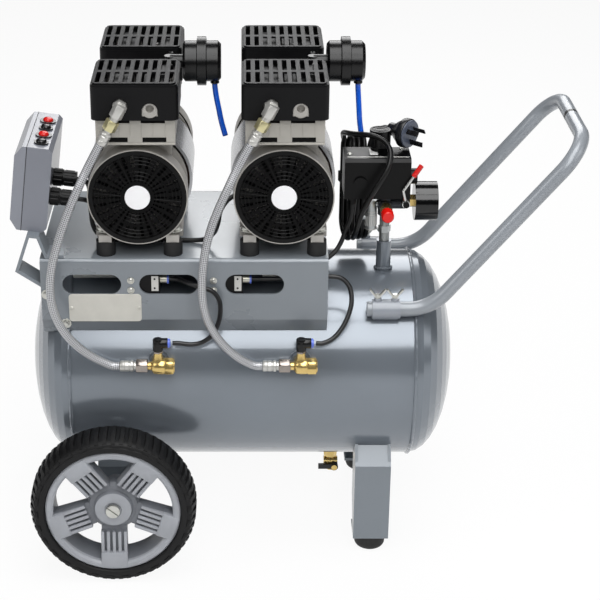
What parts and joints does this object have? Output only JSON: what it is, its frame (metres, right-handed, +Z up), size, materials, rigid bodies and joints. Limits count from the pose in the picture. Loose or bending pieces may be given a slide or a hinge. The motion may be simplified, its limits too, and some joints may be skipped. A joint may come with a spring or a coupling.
{
  "type": "air compressor",
  "caption": "Portable electric air compressor: horizontal tank on wheels and feet, motor and piston units on a saddle, control box, gauge, mains lead and bent tube handle.",
  "frame": {"origin": "on the floor, under the middle of the machine's outline without its hoses and lead", "axes": "+X along the tank towards the handle, +Y to the side away from the delivery hoses, +Z up"},
  "size_m": [0.7176, 0.4, 0.6762],
  "materials": {
    "grey_paint": "semi-gloss grey enamel",
    "box_paint": "satin grey enamel",
    "bracket_paint": "satin grey enamel",
    "tyre_rubber": "solid rubber",
    "rim_plastic": "grey moulded plastic",
    "black_rubber": "matt",
    "black_plastic": "fine grain",
    "gloss_black": "glossy",
    "red_plastic": "glossy",
    "zinc_steel": "zinc plated",
    "shaft_steel": "ground",
    "cast_alloy": "die-cast, sand-blasted",
    "dark_alloy": "cast, dark",
    "lamination": "varnished core and copper windings",
    "brass": "machined",
    "manifold_iron": "blackened",
    "braid": "woven wire braid",
    "black_cord": "sheath",
    "blue_hose": "polyurethane tube",
    "capacitor_case": "white"
  },
  "bodies": {
    "base": {"tank_shell": "grey_paint", "motor_deck": "grey_paint", "wheel_brackets": "grey_paint", "leg_brackets": "grey_paint", "rubber_feet": "black_rubber", "motor_mounts": "black_rubber", "axle_bolts": "zinc_steel", "handle_clamps": "grey_paint", "control_box_base": "box_paint", "control_box_lid": "box_paint", "box_bracket": "bracket_paint", "cable_glands": "black_plastic", "motor_cable_left": "black_cord", "motor_cable_right": "black_cord", "switch_cable": "black_cord", "crankcases": "cast_alloy", "motor_shells": "dark_alloy", "stators": "lamination", "cylinders": "dark_alloy", "cylinder_heads": "cast_alloy", "head_covers": "black_plastic", "fan_guards": "black_plastic", "air_filters": "black_plastic", "blue_tube_left": "blue_hose", "blue_tube_right": "blue_hose", "hose_fittings": "brass", "hose_left": "braid", "hose_right": "braid", "check_valves": "brass", "unloader_left": "black_cord", "unloader_right": "black_cord", "solenoid_valves": "black_plastic", "run_capacitors": "capacitor_case", "pipe_fittings": "zinc_steel", "manifold": "manifold_iron", "pressure_switch": "black_plastic", "pressure_gauge": "gloss_black", "power_cord": "black_cord", "power_cord_tail": "black_cord", "power_cord_hank": "black_cord", "power_plug": "gloss_black", "drain_valve": "brass"},
    "front_wheel": {"front_tyre": "tyre_rubber", "front_rim": "rim_plastic"},
    "rear_wheel": {"rear_tyre": "tyre_rubber", "rear_rim": "rim_plastic"},
    "left_rotor": {"left_rotor": "shaft_steel"},
    "right_rotor": {"right_rotor": "shaft_steel"},
    "left_pistons": {"left_pistons": "cast_alloy"},
    "right_pistons": {"right_pistons": "cast_alloy"},
    "red_button_1": {"red_button_1": "red_plastic"},
    "red_button_2": {"red_button_2": "red_plastic"},
    "black_button_1": {"black_button_1": "gloss_black"},
    "black_button_2": {"black_button_2": "gloss_black"},
    "handle": {"handle_tube": "grey_paint"},
    "valve_lever": {"valve_lever": "zinc_steel"},
    "safety_knob": {"safety_knob": "red_plastic"},
    "on_off_knob": {"on_off_knob": "black_plastic"},
    "drain_lever": {"drain_lever": "black_plastic"},
    "gauge_needle": {"gauge_needle": "red_plastic"}
  },
  "joints": [
    {"name": "front_wheel_spin", "type": "hinge", "parent": "base", "child": "front_wheel", "pos_m": [-0.23647, -0.175, 0.1068], "axis": [0, 1, 0], "continuous": true},
    {"name": "rear_wheel_spin", "type": "hinge", "parent": "base", "child": "rear_wheel", "pos_m": [-0.23647, 0.175, 0.1068], "axis": [0, 1, 0], "continuous": true},
    {"name": "left_rotor_spin", "type": "hinge", "parent": "base", "child": "left_rotor", "pos_m": [-0.19917, 0, 0.5071], "axis": [0, 1, 0], "continuous": true},
    {"name": "left_piston_stroke", "type": "slide", "parent": "base", "child": "left_pistons", "axis": [0, 0, 1], "range_m": [0, 0.012]},
    {"name": "right_rotor_spin", "type": "hinge", "parent": "base", "child": "right_rotor", "pos_m": [-0.01917, 0, 0.5071], "axis": [0, 1, 0], "continuous": true},
    {"name": "right_piston_stroke", "type": "slide", "parent": "base", "child": "right_pistons", "axis": [0, 0, 1], "range_m": [0, 0.012]},
    {"name": "black_button_1_press", "type": "slide", "parent": "base", "child": "black_button_1", "axis": [-0.1219, 0, -0.9925], "range_m": [0, 0.0025], "stiffness_N_per_m": 400, "springref_m": -0.001},
    {"name": "red_button_1_press", "type": "slide", "parent": "base", "child": "red_button_1", "axis": [-0.1219, 0, -0.9925], "range_m": [0, 0.0025], "stiffness_N_per_m": 400, "springref_m": -0.001},
    {"name": "black_button_2_press", "type": "slide", "parent": "base", "child": "black_button_2", "axis": [-0.1219, 0, -0.9925], "range_m": [0, 0.0025], "stiffness_N_per_m": 400, "springref_m": -0.001},
    {"name": "red_button_2_press", "type": "slide", "parent": "base", "child": "red_button_2", "axis": [-0.1219, 0, -0.9925], "range_m": [0, 0.0025], "stiffness_N_per_m": 400, "springref_m": -0.001},
    {"name": "handle_slide", "type": "slide", "parent": "base", "child": "handle", "axis": [1, 0, 0], "range_m": [0, 0.02]},
    {"name": "valve_lever_turn", "type": "hinge", "parent": "base", "child": "valve_lever", "pos_m": [0.13603, -0.062, 0.478], "axis": [0, 1, 0], "range_deg": [0, 90]},
    {"name": "safety_knob_pull", "type": "slide", "parent": "base", "child": "safety_knob", "axis": [0, -1, 0], "range_m": [0, 0.003], "stiffness_N_per_m": 800, "springref_m": -0.001},
    {"name": "on_off_knob_pull", "type": "slide", "parent": "base", "child": "on_off_knob", "axis": [0, 0, 1], "range_m": [0, 0.006]},
    {"name": "drain_lever_turn", "type": "hinge", "parent": "base", "child": "drain_lever", "pos_m": [0.05703, -0.013, 0.0675], "axis": [0, -1, 0], "range_deg": [0, 90]},
    {"name": "gauge_needle_turn", "type": "hinge", "parent": "base", "child": "gauge_needle", "pos_m": [0.17203, -0.028, 0.469], "axis": [-1, 0, 0], "range_deg": [0, 270], "stiffness_Nm_per_rad": 0.002, "springref_deg": -17.19}
  ]
}
